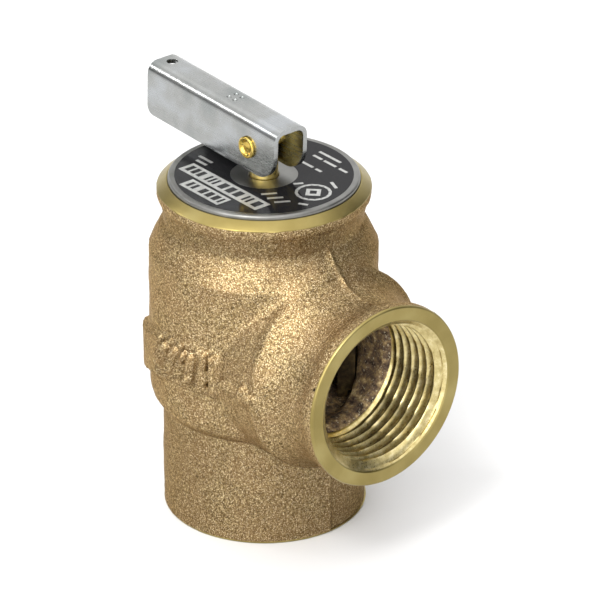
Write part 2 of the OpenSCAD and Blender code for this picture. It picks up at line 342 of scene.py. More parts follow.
def casting_distance(p):
    """Signed distance to the casting's outside, with its blends, marks and parting seam."""
    x, y, z = p[:, 0], p[:, 1], p[:, 2]
    r = np.hypot(x, y)
    barrel = outline_distance(BARREL, r, z)
    hub = outline_distance(HUB, np.hypot(y, z - OUTLET_Z), x)
    blend = BLEND + BLEND_GAIN * np.clip((z - GAIN_FROM) / GAIN_OVER, 0, 1)
    shape = smooth_min(barrel, hub, blend)
    angle = np.degrees(np.arctan2(y, x))
    on_barrel = np.clip((BARREL_R + 2.4 - r) / 0.8, 0, 1)
    shape = shape - raised_marks(angle, z) * on_barrel - raised_arrow(x, z) * np.clip(-y - 12, 0, 1)
    seam = np.exp(-(y / SEAM_WIDTH) ** 2) * SEAM_HEIGHT - np.clip(y / 2, 0, MOULD_STEP)
    ends = np.clip((SEAM_END_X - x) / 2, 0, 1) * np.clip((SEAM_END_Z - z) / 2, 0, 1)
    return shape - seam * ends


CAVITY = [(-40, 13.5), (THROAT_R, 13.5), (THROAT_R, 24.4), (8.9, 25), (9.9, 25), (10.9, 23), (10.9, 20.4),
          (11.5, 19.8), (14.0, 19.8), (CHAMBER_R, 21), (CHAMBER_R, 46.5), (TOP_BORE_R, 48.6),
          (TOP_BORE_R, 54), (-40, 54)]


def cavity_distance(p):
    """Signed distance to the hollow: throat, chamber and outlet passage."""
    x, y, z = p[:, 0], p[:, 1], p[:, 2]
    chamber = outline_distance(CAVITY, np.hypot(x, y), z)
    passage = np.maximum(np.hypot(y, z - OUTLET_Z) - PASSAGE_R, PASSAGE_START - x)
    return smooth_min(chamber, passage, CORE_BLEND)


ROUGH_SEGMENTS = 64
PROJECT_ROUNDS = 4


def rough_solid(name, outlines, voxel):
    """Turned solids joined into one even mesh."""
    bm = bmesh.new()
    for outline, place in outlines:
        points = lathe_points(outline, ROUGH_SEGMENTS, place)
        verts = [bm.verts.new(p) for p in points]
        for face in ring_faces(len(outline), ROUGH_SEGMENTS, False):
            bm.faces.new([verts[i] for i in face])
        bm.faces.new(verts[:ROUGH_SEGMENTS])
        bm.faces.new(verts[-ROUGH_SEGMENTS:])
    bmesh.ops.recalc_face_normals(bm, faces=bm.faces)
    mesh = bpy.data.meshes.new(name)
    bm.to_mesh(mesh)
    bm.free()
    thing = bpy.data.objects.new(name, mesh)
    bpy.context.scene.collection.objects.link(thing)
    remesh = thing.modifiers.new("even", "REMESH")
    remesh.mode = "VOXEL"
    remesh.voxel_size = voxel
    apply_modifiers(thing)
    return thing


def project(points, distance):
    """Moves points onto the surface where distance is zero, and finds the normals there."""
    step, reach = 0.02, 0.8
    for _ in range(PROJECT_ROUNDS):
        here = distance(points)
        slope = np.empty_like(points)
        for axis in range(3):
            ahead = points.copy()
            ahead[:, axis] += step
            slope[:, axis] = (distance(ahead) - here) / step
        size = np.maximum((slope ** 2).sum(1), 0.3)
        points = points - slope * (np.clip(here, -reach, reach) / size)[:, None]
    return points, slope / np.sqrt((slope ** 2).sum(1))[:, None]


def cut_skin(thing, planes):
    """Cuts the mesh at each plane, and drops what lies beyond it."""
    bm = bmesh.new()
    bm.from_mesh(thing.data)
    for point, normal in planes:
        geometry = bm.verts[:] + bm.edges[:] + bm.faces[:]
        bmesh.ops.bisect_plane(bm, geom=geometry, plane_co=point, plane_no=normal, clear_outer=True)
    bm.to_mesh(thing.data)
    bm.free()


def skin(name, outlines, voxel, distance, planes, grain):
    """A mesh of the surface where distance is zero, roughened by grain and cut open at planes."""
    thing = rough_solid(name, outlines, voxel)
    points, normals = project(arrays(thing.data), distance)
    points = points + normals * grain(points)[:, None]
    thing.data.vertices.foreach_set("co", points.ravel())
    thing.data.update()
    cut_skin(thing, planes)
    return thing


def outside_grain(points):
    """The sand's print on the outside: slow waves, lumps and grains."""
    waves = 0.10 * fractal(points, 6.0, 1, 2)
    lumps = 0.035 * fractal(points, 1.9, 2, 2)
    grains = 0.05 * fractal(points, 0.85, 3, 2)
    return waves + lumps + grains


def inside_grain(points):
    """The coarser grain of the core that shaped the hollow."""
    return 0.22 * fractal(points, 2.6, 5, 2) + 0.10 * fractal(points, 1.0, 6, 2)


def loops_of(bm):
    """Boundary loops of a bmesh, each an unordered set of vertices."""
    left = {v for e in bm.edges if e.is_boundary for v in e.verts}
    loops = []
    while left:
        todo, loop = [left.pop()], []
        while todo:
            v = todo.pop()
            loop.append(v)
            for e in v.link_edges:
                other = e.other_vert(v)
                if e.is_boundary and other in left:
                    left.remove(other)
                    todo.append(other)
        loops.append(loop)
    return loops


def around(v, axis):
    """Angle of a vertex round the valve's axis or the outlet's."""
    if axis == "z":
        return math.atan2(v.co.y, v.co.x)
    return math.atan2(v.co.z - OUTLET_Z, v.co.y)


def next_angle(angles, i):
    """Angle of the loop's vertex after number i, or one past them all once the loop is used up."""
    if i + 1 < len(angles):
        return angles[i + 1]
    return angles[0] + 2 * math.pi if i < len(angles) else 99


def zip_loops(bm, first, second, axis, material):
    """Joins two loops round one axis with triangles, in order of angle."""
    a = sorted(first, key=lambda v: around(v, axis))
    b = sorted(second, key=lambda v: around(v, axis))
    angle_a, angle_b = [around(v, axis) for v in a], [around(v, axis) for v in b]
    i = j = 0
    while i < len(a) or j < len(b):
        next_a, next_b = next_angle(angle_a, i), next_angle(angle_b, j)
        va, vb = a[i % len(a)], b[j % len(b)]
        if next_a <= next_b:
            corner_v = a[(i + 1) % len(a)]
            i += 1
        else:
            corner_v = b[(j + 1) % len(b)]
            j += 1
        face = bm.faces.new((va, vb, corner_v))
        face.material_index = material


def thread_radius(depth, angle):
    """Wall radius of the tapered thread at a depth from the mouth."""
    crest = THREAD_CREST - THREAD_TAPER * depth
    phase = (depth / THREAD_PITCH - angle / (2 * math.pi)) % 1.0
    tooth = min(phase, 1 - phase) * 2
    groove = min(max((tooth - CREST_FLAT) / FLANK, 0), 1)
    fade = min(max((THREAD_LENGTH + 0.5 - depth) / THREAD_FADE, 0), 1)
    return crest + THREAD_DEPTH * groove * fade


# The casting's materials, in the order of its slots, and a threaded wall's strips before its thread.
CAST, TURNED, HOLLOW, THREAD = range(4)
SEGMENTS = 144
FACE_STRIPS = 6


def add_lathe(bm, rings, place, material, threaded=False):
    """Adds an open turned surface, whose radius may depend on the angle, and returns its end loops."""
    rows = []
    for radius, height in rings:
        row = []
        for k in range(SEGMENTS):
            a = 2 * math.pi * k / SEGMENTS
            r = radius(a) if callable(radius) else radius
            row.append(bm.verts.new(place(r, height, math.cos(a), math.sin(a))))
        rows.append(row)
    for row_number, (low, high) in enumerate(zip(rows, rows[1:])):
        for k in range(SEGMENTS):
            n = (k + 1) % SEGMENTS
            face = bm.faces.new((low[k], low[n], high[n], high[k]))
            face.material_index = THREAD if threaded and row_number >= FACE_STRIPS else material
    return rows[0], rows[-1]


def threaded_wall(face, inward, outer_r):
    """Rings over a turned end face's edge and mouth, FACE_STRIPS of them, then down the thread."""
    edge = [(outer_r, 0.42), (outer_r - 0.02, 0.28), (outer_r - 0.12, 0.10), (outer_r - 0.32, 0.0)]
    rings = [(r, face + inward * d) for r, d in edge]
    rings += [(MOUTH_R + 0.06, face), (MOUTH_R, face + inward * 0.05)]
    first, chamfer_slope = 0.15, 1.1
    steps = int(THREAD_LENGTH / THREAD_PITCH * RINGS_PER_PITCH)
    for i in range(steps + 1):
        depth = first + i * THREAD_PITCH / RINGS_PER_PITCH

        def radius(a, depth=depth):
            return max(thread_radius(depth, a), MOUTH_R - depth * chamfer_slope)
        rings.append((radius, face + inward * depth))
    return rings


def find_loop(loops, test):
    """The boundary loop whose every vertex passes the test."""
    return next(loop for loop in loops if all(test(v.co) for v in loop))


# Voxels, the planes that cut the two skins open, and rough outlines that the skins start from.
SHELL_VOXEL, HOLLOW_VOXEL = 0.41, 0.6
SKIN_TOP, SKIN_EDGE = 57.2, 0.45
HOLLOW_TOP, HOLLOW_LOW, HOLLOW_DEPTH = 49.6, 15.6, 13.2
ROUGH_AXIS = 0.02
BARREL_ROUGH = [(ROUGH_AXIS, -2), (BOSS_R + 0.2, -2), (BOSS_R + 0.2, 20), (BARREL_R + 0.3, 22.5),
                (BARREL_R + 0.3, 48), (NECK_R + 0.6, 52), (NECK_R + 0.6, 54), (RIM_R, 55.5), (RIM_R, 60),
                (ROUGH_AXIS, 60)]
HUB_ROUGH = [(ROUGH_AXIS, 3), (HUB_R + 0.2, 3), (HUB_R + 0.2, 19), (BAND_R + 0.3, 26), (BAND_R, 33),
             (ROUGH_AXIS, 33)]
PASSAGE_ROUGH = [(PASSAGE_R, 6), (PASSAGE_R, 23)]
CAVITY_ROUGH = [(ROUGH_AXIS, 14), (THROAT_R, 14), (THROAT_R, 24.4), (8.9, 25), (9.9, 25), (10.9, 23),
                (10.9, 20), (CHAMBER_R, 20), (CHAMBER_R, 46.5), (TOP_BORE_R, 48.8), (TOP_BORE_R, 53),
                (ROUGH_AXIS, 53)]


def casting_shell():
    """The cast outside, open at the rim, the inlet and the outlet, where turned surfaces join it."""
    planes = [((0, 0, SKIN_TOP), (0, 0, 1)), ((0, 0, SKIN_EDGE), (0, 0, -1)),
              ((OUTLET_X - SKIN_EDGE, 0, 0), (1, 0, 0))]
    outlines = [(BARREL_ROUGH, about_z), (HUB_ROUGH, about_outlet)]
    return skin("casting_skin", outlines, SHELL_VOXEL, casting_distance, planes, outside_grain)


def casting_hollow():
    """The rough hollow, open at the top bore and at the ends of both threads."""
    planes = [((0, 0, HOLLOW_TOP), (0, 0, 1)), ((0, 0, HOLLOW_LOW), (0, 0, -1)),
              ((OUTLET_X - HOLLOW_DEPTH, 0, 0), (1, 0, 0))]
    outlines = [(CAVITY_ROUGH, about_z), (PASSAGE_ROUGH, about_outlet)]
    return skin("casting_hollow", outlines, HOLLOW_VOXEL, cavity_distance, planes, inside_grain)


def make_casting():
    """One closed mesh: cast outside, turned rim, faces and threads, and the rough hollow inside."""
    shell, hollow = casting_shell(), casting_hollow()
    bm = bmesh.new()
    bm.from_mesh(shell.data)
    shell_loops = loops_of(bm)
    known = set(bm.faces)
    bm.from_mesh(hollow.data)
    for face in bm.faces:
        if face not in known:
            face.material_index = HOLLOW
    old = {v for loop in shell_loops for v in loop}
    hollow_loops = [loop for loop in loops_of(bm) if loop[0] not in old]

    top = [(RIM_R - 0.02, 57.32), (RIM_R - 0.12, 57.42), (15.95, RIM_TOP - 0.06), (15.85, RIM_TOP),
           (15.70, RIM_TOP), (PLATE_R + 0.05, RIM_TOP - 0.05), (PLATE_R + 0.05, PLATE_LOW - 0.3),
           (TOP_BORE_R, PLATE_LOW - 0.3), (TOP_BORE_R, 50.2)]
    outer, inner = add_lathe(bm, top, about_z, TURNED)
    zip_loops(bm, find_loop(shell_loops, lambda c: c.z > 57), outer, "z", TURNED)
    zip_loops(bm, find_loop(hollow_loops, lambda c: c.z > 49), inner, "z", HOLLOW)

    outer, inner = add_lathe(bm, threaded_wall(OUTLET_X, -1, BAND_R), about_outlet, TURNED, True)
    zip_loops(bm, find_loop(shell_loops, lambda c: c.x > OUTLET_X - 1), outer, "x", TURNED)
    zip_loops(bm, find_loop(hollow_loops, lambda c: c.x > 15), inner, "x", HOLLOW)

    outer, inner = add_lathe(bm, threaded_wall(0.0, 1, BOSS_R), about_z, TURNED, True)
    zip_loops(bm, find_loop(shell_loops, lambda c: c.z < 1), outer, "z", TURNED)
    zip_loops(bm, find_loop(hollow_loops, lambda c: c.z < 17), inner, "z", HOLLOW)

    bmesh.ops.recalc_face_normals(bm, faces=bm.faces)
    for face in bm.faces:
        face.smooth = True
    for edge in bm.edges:
        kinds = {f.material_index for f in edge.link_faces}
        if TURNED in kinds or THREAD in kinds:
            crease = len(edge.link_faces) == 2 and edge.calc_face_angle(0) > math.radians(24)
            edge.smooth = not crease
    bmesh.ops.scale(bm, vec=(MM, MM, MM), verts=bm.verts)
    mesh = bpy.data.meshes.new("casting")
    bm.to_mesh(mesh)
    bm.free()
    casting = bpy.data.objects.new("casting", mesh)
    bpy.context.scene.collection.objects.link(casting)
    for scrap in (shell, hollow):
        bpy.data.objects.remove(scrap)
    for material in (cast_bronze(), turned_brass(), dark_cast(), cut_thread()):
        mesh.materials.append(material)
    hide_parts("body_casting")
    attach(casting, "valve_body")


# ---------------------------------------------------------------- materials

def set_range(node, low, high, to_low, to_high):
    """Sets the four limits of a Map Range node."""
    for name, number in (("From Min", low), ("From Max", high), ("To Min", to_low), ("To Max", to_high)):
        node.inputs[name].default_value = number


class Graph:
    """Short calls for building one node material."""

    def __init__(self, name):
        self.material = bpy.data.materials.new(name)
        self.material.use_nodes = True
        self.nodes = self.material.node_tree.nodes
        self.links = self.material.node_tree.links
        self.shader = self.nodes["Principled BSDF"]
        coordinates = self.nodes.new("ShaderNodeTexCoord")
        self.place = coordinates.outputs["Object"]

    def put(self, socket, value):
        if isinstance(value, bpy.types.NodeSocket):
            self.links.new(value, socket)
        else:
            socket.default_value = value

    def stretch(self, scale):
        node = self.nodes.new("ShaderNodeMapping")
        self.links.new(self.place, node.inputs["Vector"])
        node.inputs["Scale"].default_value = scale
        return node.outputs["Vector"]

    def noise(self, size_mm, detail, rough, place=None):
        node = self.nodes.new("ShaderNodeTexNoise")
        self.links.new(place or self.place, node.inputs["Vector"])
        node.inputs["Scale"].default_value = 1 / (size_mm * MM)
        node.inputs["Detail"].default_value = detail
        node.inputs["Roughness"].default_value = rough
        return node.outputs["Fac"]

    def cells(self, size_mm):
        node = self.nodes.new("ShaderNodeTexVoronoi")
        self.links.new(self.place, node.inputs["Vector"])
        node.inputs["Scale"].default_value = 1 / (size_mm * MM)
        return node

    def ramp(self, value, stops):
        node = self.nodes.new("ShaderNodeValToRGB")
        self.links.new(value, node.inputs["Fac"])
        ramp = node.color_ramp
        while len(ramp.elements) < len(stops):
            ramp.elements.new(0.5)
        for element, (position, colour) in zip(ramp.elements, stops):
            element.position = position
            element.color = (*colour, 1)
        return node.outputs["Color"]

    def span(self, value, low, high, to_low, to_high):
        node = self.nodes.new("ShaderNodeMapRange")
        self.put(node.inputs["Value"], value)
        set_range(node, low, high, to_low, to_high)
        return node.outputs["Result"]

    def maths(self, operation, a, b):
        node = self.nodes.new("ShaderNodeMath")
        node.operation = operation
        for socket, value in zip(node.inputs, (a, b)):
            self.put(socket, value)
        return node.outputs["Value"]

    def mix(self, factor, a, b):
        node = self.nodes.new("ShaderNodeMix")
        node.data_type = "RGBA"
        self.put(node.inputs["Factor"], factor)
        for name, value in (("A", a), ("B", b)):
            socket = next(s for s in node.inputs if s.name == name and s.type == "RGBA")
            self.put(socket, (*value, 1) if isinstance(value, tuple) else value)
        return next(s for s in node.outputs if s.type == "RGBA")

    def split_red(self, colour):
        node = self.nodes.new("ShaderNodeSeparateColor")
        self.links.new(colour, node.inputs["Color"])
        return node.outputs["Red"]

    def y_and_z(self):
        node = self.nodes.new("ShaderNodeSeparateXYZ")
        self.links.new(self.place, node.inputs["Vector"])
        return node.outputs["Y"], node.outputs["Z"]

    def bump(self, height, strength, distance_mm, under=None):
        node = self.nodes.new("ShaderNodeBump")
        self.links.new(height, node.inputs["Height"])
        node.inputs["Strength"].default_value = strength
        node.inputs["Distance"].default_value = distance_mm * MM
        if under:
            self.links.new(under, node.inputs["Normal"])
        return node.outputs["Normal"]

    def finish(self, **values):
        """Sets the shader's own inputs, and gives back the material."""
        names = {"colour": "Base Color", "rough": "Roughness", "metal": "Metallic", "normal": "Normal",
                 "specular": "Specular IOR Level", "tint": "Specular Tint"}
        for key, value in values.items():
            if isinstance(value, tuple):
                value = (*value, 1)
            self.put(self.shader.inputs[names[key]], value)
        return self.material


def cast_bronze():
    """Sand-cast bronze: brown-gold grains with bright ones and dark pits, and painted shade in the neck,
    low on the boss and towards the +y side.
    """
    g = Graph("cast_bronze")
    grain = g.noise(0.40, 5, 0.68)
    fine = g.noise(0.17, 2, 0.6)
    patch = g.noise(5.0, 4, 0.55)
    tone = g.ramp(grain, [(0.34, (0.058, 0.035, 0.014)), (0.45, (0.155, 0.100, 0.042)),
                          (0.56, (0.275, 0.193, 0.086)), (0.66, (0.64, 0.50, 0.26))])
    worn = g.mix(g.span(patch, 0.38, 0.62, 0.0, 0.40), tone, (0.25, 0.150, 0.068))
    dusty = g.mix(g.span(fine, 0.44, 0.34, 0.0, 0.75), worn, (0.055, 0.034, 0.016))
    speck = g.mix(g.span(fine, 0.57, 0.66, 0.0, 0.9), dusty, (0.92, 0.76, 0.48))
    rough = g.span(grain, 0.3, 0.7, 0.52, 0.30)
    pit = g.cells(3.4)
    picked = g.span(g.split_red(pit.outputs["Color"]), 0.80, 0.82, 0.0, 1.0)
    hole = g.maths("MULTIPLY", g.span(pit.outputs["Distance"], 0.06, 0.11, 1.0, 0.0), picked)
    first = g.bump(grain, 0.8, 0.12)
    both = g.bump(fine, 0.6, 0.04, first)
    pitted = g.mix(hole, speck, (0.02, 0.014, 0.008))
    # Painted shade: darker in the neck under the rim, low on the boss near the floor, and towards the +y
    # side, away from the light.
    across, up = g.y_and_z()
    neck_shade = g.maths("MULTIPLY", g.span(up, 49.8 * MM, 51.6 * MM, 0.0, 0.30),
                   g.span(up, 54.4 * MM, 55.6 * MM, 1.0, 0.0))
    boss_shade = g.span(up, 20 * MM, 17.5 * MM, 0.0, 0.22)
    back = g.span(across, -6 * MM, 9 * MM, 0.0, 0.28)
    painted_shade = g.maths("MAXIMUM", g.maths("MAXIMUM", boss_shade, back), neck_shade)
    shaded_tone = g.mix(painted_shade, pitted, (0.05, 0.032, 0.014))
    return g.finish(colour=shaded_tone, rough=rough, metal=0.82, normal=both, tint=(0.72, 0.55, 0.36))


def turned_brass():
    """Turned brass: pale gold, with a soft sheen and fine uneven marks."""
    g = Graph("turned_brass")
    cloud = g.noise(6.0, 3, 0.5)
    marks = g.noise(0.30, 3, 0.6)
    tone = g.ramp(cloud, [(0.32, (0.255, 0.200, 0.068)), (0.52, (0.30, 0.238, 0.086)),
                          (0.72, (0.35, 0.285, 0.112))])
    rough = g.span(marks, 0.3, 0.7, 0.28, 0.40)
    return g.finish(colour=tone, rough=rough, metal=1.0, normal=g.bump(marks, 0.30, 0.02))


def inner_shade_brass():
    """Brass painted dark brown as the shade deep inside the valve, with the yellow showing in places."""
    g = Graph("inner_shade_brass")
    cloud = g.noise(1.8, 5, 0.65)
    tone = g.ramp(cloud, [(0.34, (0.030, 0.020, 0.012)), (0.52, (0.075, 0.052, 0.024)),
                          (0.70, (0.20, 0.145, 0.058))])
    return g.finish(colour=tone, rough=g.span(cloud, 0.3, 0.7, 0.60, 0.42), metal=0.8,
                    normal=g.bump(cloud, 0.4, 0.08))


def cut_thread():
    """Freshly cut brass in the two pipe threads, brighter than the faces."""
    g = Graph("cut_thread")
    cloud = g.noise(1.2, 4, 0.6)
    marks = g.noise(0.25, 3, 0.6)
    tone = g.ramp(cloud, [(0.32, (0.42, 0.335, 0.14)), (0.52, (0.57, 0.475, 0.225)),
                          (0.72, (0.76, 0.66, 0.38))])
    rough = g.span(marks, 0.3, 0.7, 0.24, 0.40)
    return g.finish(colour=tone, rough=rough, metal=1.0, normal=g.bump(marks, 0.35, 0.03))


def gold_brass(name, dark, middle, pale, smoothest):
    """Polished yellow brass of the stem and the rivet."""
    g = Graph(name)
    cloud = g.noise(0.8, 4, 0.6)
    tone = g.ramp(cloud, [(0.32, dark), (0.52, middle), (0.72, pale)])
    rough = g.span(cloud, 0.3, 0.7, smoothest, smoothest + 0.14)
    return g.finish(colour=tone, rough=rough, metal=1.0, normal=g.bump(cloud, 0.2, 0.03))


def clouded(name, cloud_noise, stops, rough, metal):
    """A metal or a print whose tone and gloss drift together in soft clouds."""
    g = Graph(name)
    cloud = g.noise(*cloud_noise)
    return g.finish(colour=g.ramp(cloud, stops), rough=g.span(cloud, 0.3, 0.7, *rough), metal=metal)


def dark_cast():
    """The unmachined hollow: dark oxide with brown and a few bright grains."""
    g = Graph("dark_cast")
    grain = g.noise(1.5, 6, 0.72)
    fine = g.noise(0.35, 3, 0.6)
    tone = g.ramp(grain, [(0.36, (0.035, 0.022, 0.016)), (0.48, (0.19, 0.125, 0.078)),
                          (0.58, (0.44, 0.30, 0.14)), (0.68, (0.90, 0.72, 0.38))])
    spark = g.mix(g.span(fine, 0.60, 0.68, 0.0, 0.8), tone, (0.95, 0.86, 0.62))
    return g.finish(colour=spark, rough=g.span(fine, 0.3, 0.7, 0.5, 0.7), metal=0.3,
                    normal=g.bump(grain, 1.0, 0.35))


def zinc_steel():
    """Bright zinc plate: cool grey, cloudy, with fine scratches along the sheet."""
    g = Graph("zinc_steel")
    cloud = g.noise(8.0, 4, 0.55)
    scratch = g.noise(0.5, 4, 0.7, g.stretch((0.06, 1, 1)))
    tone = g.ramp(cloud, [(0.34, (0.26, 0.275, 0.27)), (0.50, (0.335, 0.34, 0.33)),
                          (0.66, (0.40, 0.415, 0.425))])
    rough = g.span(scratch, 0.3, 0.7, 0.20, 0.32)
    return g.finish(colour=tone, rough=rough, metal=1.0, normal=g.bump(scratch, 0.14, 0.02))


def bare_aluminium():
    stops = [(0.30, (0.165, 0.163, 0.152)), (0.70, (0.245, 0.243, 0.230))]
    return clouded("bare_aluminium", (3.0, 3, 0.5), stops, (0.30, 0.38), 1.0)


def black_print():
    """Glossy black print, very slightly uneven."""
    g = Graph("black_print")
    wave = g.noise(2.5, 3, 0.5)
    dust = g.noise(0.12, 2, 0.5)
    tone = g.ramp(dust, [(0.45, (0.007, 0.007, 0.008)), (0.75, (0.018, 0.017, 0.017))])
    return g.finish(colour=tone, rough=g.span(wave, 0.3, 0.7, 0.08, 0.14), metal=0.0,
                    normal=g.bump(wave, 0.15, 0.02), specular=0.08)


def silver_print():
    stops = [(0.30, (0.36, 0.36, 0.345)), (0.70, (0.52, 0.52, 0.50))]
    return clouded("silver_print", (0.6, 4, 0.6), stops, (0.3, 0.4), 0.7)


def spring_wire():
    stops = [(0.30, (0.10, 0.10, 0.11)), (0.70, (0.24, 0.23, 0.23))]
    return clouded("spring_wire", (1.5, 4, 0.6), stops, (0.3, 0.5), 0.9)


def plain_steel():
    stops = [(0.30, (0.36, 0.36, 0.37)), (0.70, (0.55, 0.55, 0.56))]
    return clouded("plain_steel", (1.1, 4, 0.6), stops, (0.28, 0.45), 1.0)


def seal_rubber():
    g = Graph("seal_rubber")
    grain = g.noise(0.3, 4, 0.6)
    tone = g.ramp(grain, [(0.30, (0.015, 0.015, 0.015)), (0.70, (0.045, 0.043, 0.04))])
    return g.finish(colour=tone, rough=0.75, metal=0.0, normal=g.bump(grain, 0.3, 0.03))


def gasket_fibre():
    g = Graph("gasket_fibre")
    grain = g.noise(0.4, 5, 0.7)
    tone = g.ramp(grain, [(0.30, (0.05, 0.05, 0.05)), (0.70, (0.14, 0.13, 0.12))])
    return g.finish(colour=tone, rough=0.9, metal=0.0, normal=g.bump(grain, 0.5, 0.05))


# ---------------------------------------------------------------- stem, lever and rivet

# The lever, measured from its pivot.
LEVER_BACK, LEVER_FRONT = -26.1, 6.7
LEVER_HALF, LEVER_UP, LEVER_DOWN = 3.4, 5.0, 4.1
SHEET = 0.8
BEND_R = 2.0
HEEL_R, TAIL_R = 4.4, 1.5
WIRE_HOLE_X, WIRE_HOLE_R = -23.9, 0.95
DIMPLE_X, DIMPLE_STEP, DIMPLE_R, DIMPLE_RISE = -7.4, 0.75, 0.55, 0.34
EDGE_BEVEL = 0.12


def bottom_edge(x):
    """Height of the cheek's lower edge above the pivot, with its two rounded corners."""
    heel = x - (LEVER_FRONT - HEEL_R)
    tail = (LEVER_BACK + TAIL_R) - x
    if heel > 0:
        return -LEVER_DOWN + HEEL_R - math.sqrt(max(HEEL_R ** 2 - heel ** 2, 0))
    if tail > 0:
        return -LEVER_DOWN + TAIL_R - math.sqrt(max(TAIL_R ** 2 - tail ** 2, 0))
    return -LEVER_DOWN


def lever_columns():
    """Places along the lever where its cross-section is drawn, close together at both corners."""
    corner_steps = 12
    heel = [LEVER_FRONT - HEEL_R + HEEL_R * math.sin(math.pi / 2 * i / corner_steps)
            for i in range(corner_steps + 1)]
    tail = [LEVER_BACK + TAIL_R - TAIL_R * math.sin(math.pi / 2 * i / corner_steps)
            for i in range(corner_steps, -1, -1)]
    middle = list(np.linspace(tail[-1], heel[0], 28)[1:-1])
    return tail + middle + heel


def lever_rows(x):
    """Points across the folded sheet's middle surface, from one cheek's edge to the other's."""
    half, top, bend = LEVER_HALF - SHEET / 2, LEVER_UP - SHEET / 2, BEND_R - SHEET / 2
    low = bottom_edge(x)
    cheek = [(-half, low + (top - bend - low) * i / 8) for i in range(8)]
    angles = [math.pi / 2 * i / 6 for i in range(7)]
    turn = [(-half + bend - bend * math.cos(a), top - bend + bend * math.sin(a)) for a in angles]
    web = [(-half + bend + (half - bend) * i / 4, top) for i in range(1, 4)]
    side = cheek + turn + web
    return side + [(0, top)] + [(-y, z) for y, z in reversed(side)]


def lever_tools():
    """Solids that cut the wire hole and the four stamped dimples out of the lever."""
    tools = [solid_lathe("drill", [(WIRE_HOLE_R, 2), (WIRE_HOLE_R, 8)],
                         lambda r, h, c, s: (WIRE_HOLE_X + r * c, r * s, h), 32)]
    for dv in (-DIMPLE_STEP, DIMPLE_STEP):
        for du in (-DIMPLE_STEP, DIMPLE_STEP):
            place = ((DIMPLE_X + du) * MM, dv * MM, (LEVER_UP + DIMPLE_RISE) * MM)
            bpy.ops.mesh.primitive_uv_sphere_add(segments=16, ring_count=8, radius=DIMPLE_R * MM,
                                                 location=place)
            tools.append(bpy.context.object)
    return tools


def make_lever():
    """Folded sheet with round corners, a wire hole and stamped dimples."""
    columns = lever_columns()
    rows = [lever_rows(x) for x in columns]
    count = len(rows[0])
    points = [(x, y, z) for x, row in zip(columns, rows) for y, z in row]
    faces = [(i * count + j, (i + 1) * count + j, (i + 1) * count + j + 1, i * count + j + 1)
             for i in range(len(columns) - 1) for j in range(count - 1)]
    lever = mesh_object("lift_lever", points, faces)
    tidy_normals(lever)
    lever.data.materials.append(zinc_steel())
    sheet = lever.modifiers.new("sheet", "SOLIDIFY")
    sheet.thickness = SHEET * MM
    sheet.offset = 0
    sheet.use_even_offset = True
    apply_modifiers(lever)
    tools = lever_tools()
    for tool in tools:
        cut = lever.modifiers.new("cut", "BOOLEAN")
        cut.operation = "DIFFERENCE"
        cut.solver = "EXACT"
        cut.object = tool
    soften = lever.modifiers.new("soften", "BEVEL")
    soften.width = EDGE_BEVEL * MM
    soften.segments = 3
    soften.limit_method = "ANGLE"
    soften.angle_limit = math.radians(50)
    soften.use_clamp_overlap = True
    apply_modifiers(lever)
    for tool in tools:
        bpy.data.objects.remove(tool)
    lever.data.transform(Matrix.Translation((0, 0, PIN_Z * MM)) @ Matrix.Rotation(TILT, 4, "Y"))
    smooth(lever, 35)
    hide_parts("lever")
    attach(lever, "lever_assembly")


def make_rivet():
    """Rivet with a rolled, dished head on each side of the lever."""
    shank, head = 1.3, 1.85
    face, crown = LEVER_HALF, LEVER_HALF + 0.5
    rolled = ([(shank, face + 0.01), (head - 0.08, face + 0.01), (head, face + 0.1)]
              + ellipse(head - 0.24, crown - 0.24, 0.24, 0.24, 0, 90, 5)
              + [(1.42, crown - 0.06), (1.22, crown - 0.24), (1.06, crown - 0.42), (0.80, crown - 0.46),
                 (0.50, crown - 0.38), (0.02, crown - 0.34)])
    profile = rolled + [(r, -h) for r, h in reversed(rolled)]
    rivet = lathe("pivot_rivet", profile, about_pin, 64)
    rivet.data.transform(Matrix.Translation((0, 0, PIN_Z * MM)))
    smooth(rivet)
    rivet.data.materials.append(gold_brass("rivet_brass", (0.42, 0.28, 0.05), (0.60, 0.43, 0.10),
                                           (0.80, 0.62, 0.22), 0.16))
    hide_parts("lever_rivet")
    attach(rivet, "lever_assembly")


def make_stem():
    """Turned stem with its foot collar and domed top."""
    shank, dome, collar = 2.3, 3.85, 3.4
    foot = STEM_LOW
    start = math.degrees(math.acos(shank / dome))
    top = ellipse(0, PIN_Z, dome, dome, start, 84, 8)
    profile = ([(2.9, foot), (3.3, foot + 0.1), (collar, foot + 0.3), (collar, foot + 1.4),
                (3.2, foot + 1.6), (shank, foot + 1.6)]
               + [(shank, PIN_Z - 8 + i) for i in range(11)] + top[1:])
    stem = solid_lathe("lift_stem", profile)
    smooth(stem)
    # The stem's brass is paler than the rivet's. It is its own polished colour, lifted as painted light for
    # the stem's shaded place under the lever.
    stem.data.materials.append(gold_brass("stem_brass", (0.78, 0.57, 0.15), (0.90, 0.70, 0.24),
                                          (0.97, 0.83, 0.42), 0.24))
    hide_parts("stem")
    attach(stem, "stem_assembly")


# ---------------------------------------------------------------- spring

COIL_TURNS = 5.5
WIRE_R = 1.3
WIRE_SIDES = 20
STEPS_PER_TURN = 60


def coil_height(turn, low, high):
    """Height of the wire's centre; the coil closes up over its first and last turn."""
    closed = 1.96 * WIRE_R
    live = (high - low - 2 * closed) / (COIL_TURNS - 2)
    if turn < 1:
        return low + closed * turn
    if turn > COIL_TURNS - 1:
        return high - closed * (COIL_TURNS - turn)
    return low + closed + live * (turn - 1)


